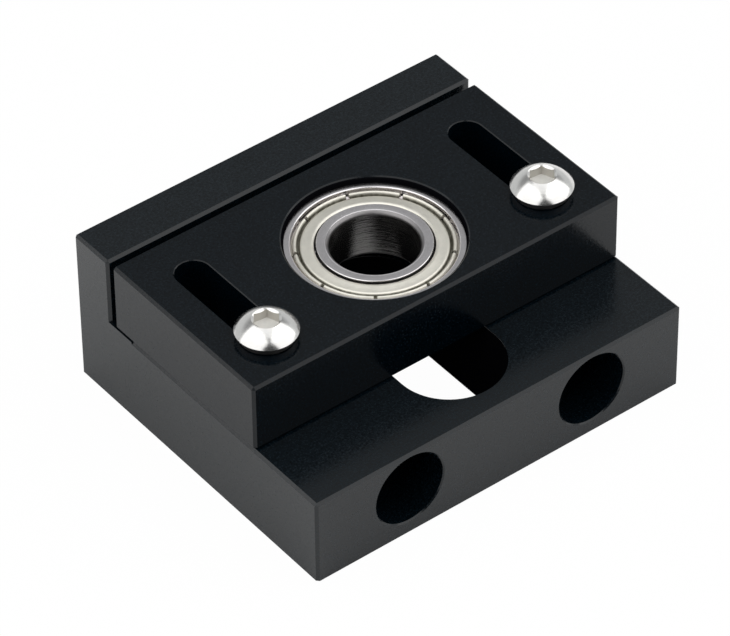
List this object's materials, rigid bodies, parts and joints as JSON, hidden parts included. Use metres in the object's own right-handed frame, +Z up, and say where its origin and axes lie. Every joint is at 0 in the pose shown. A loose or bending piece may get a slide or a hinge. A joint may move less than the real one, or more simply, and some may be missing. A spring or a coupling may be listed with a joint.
{
  "type": "screw shaft bearing bracket",
  "caption": "Adjustable bearing bracket for a screw shaft: an L-shaped aluminium base, a slotted plate that slides on it with a shielded ball bearing, and domed clamp screws.",
  "frame": {"origin": "middle of the base's footprint, on its underside", "axes": "+X along the bracket's length, +Y towards the wall and the frame that it is bolted to, +Z up along the bearing's axis"},
  "size_m": [0.04, 0.034, 0.0181],
  "materials": {
    "anodised_base": "black anodised, fine matt grain",
    "anodised_plate": "black anodised, fine matt grain",
    "screw_steel": "polished stainless steel",
    "ring_steel": "ground bearing steel",
    "shield_steel": "pressed sheet steel, satin",
    "cage_steel": "pressed sheet steel",
    "ball_steel": "polished"
  },
  "bodies": {
    "base": {"base_bracket": "anodised_base", "clamp_screw_left": "screw_steel", "clamp_screw_right": "screw_steel"},
    "plate": {"bearing_plate": "anodised_plate", "bearing_outer_ring": "ring_steel", "upper_shield": "shield_steel", "lower_shield": "shield_steel"},
    "inner_ring": {"bearing_inner_ring": "ring_steel"},
    "cage": {"cage_upper_half": "cage_steel", "cage_lower_half": "cage_steel", "cage_rivets": "cage_steel", "ball_1": "ball_steel", "ball_2": "ball_steel", "ball_3": "ball_steel", "ball_4": "ball_steel", "ball_5": "ball_steel", "ball_6": "ball_steel", "ball_7": "ball_steel", "ball_8": "ball_steel", "ball_9": "ball_steel"}
  },
  "joints": [
    {"name": "plate_slide", "type": "slide", "parent": "base", "child": "plate", "axis": [0, -1, 0], "range_m": [-0.0006, 0.0102]},
    {"name": "inner_ring_spin", "type": "hinge", "parent": "plate", "child": "inner_ring", "pos_m": [0, 0.00048, 0.0129], "axis": [0, 0, 1], "continuous": true},
    {"name": "cage_spin", "type": "hinge", "parent": "plate", "child": "cage", "pos_m": [0, 0.00048, 0.0129], "axis": [0, 0, 1], "continuous": true}
  ],
  "couplings": [
    {"joint": "cage_spin", "follows": "inner_ring_spin", "ratio": 0.4008}
  ]
}
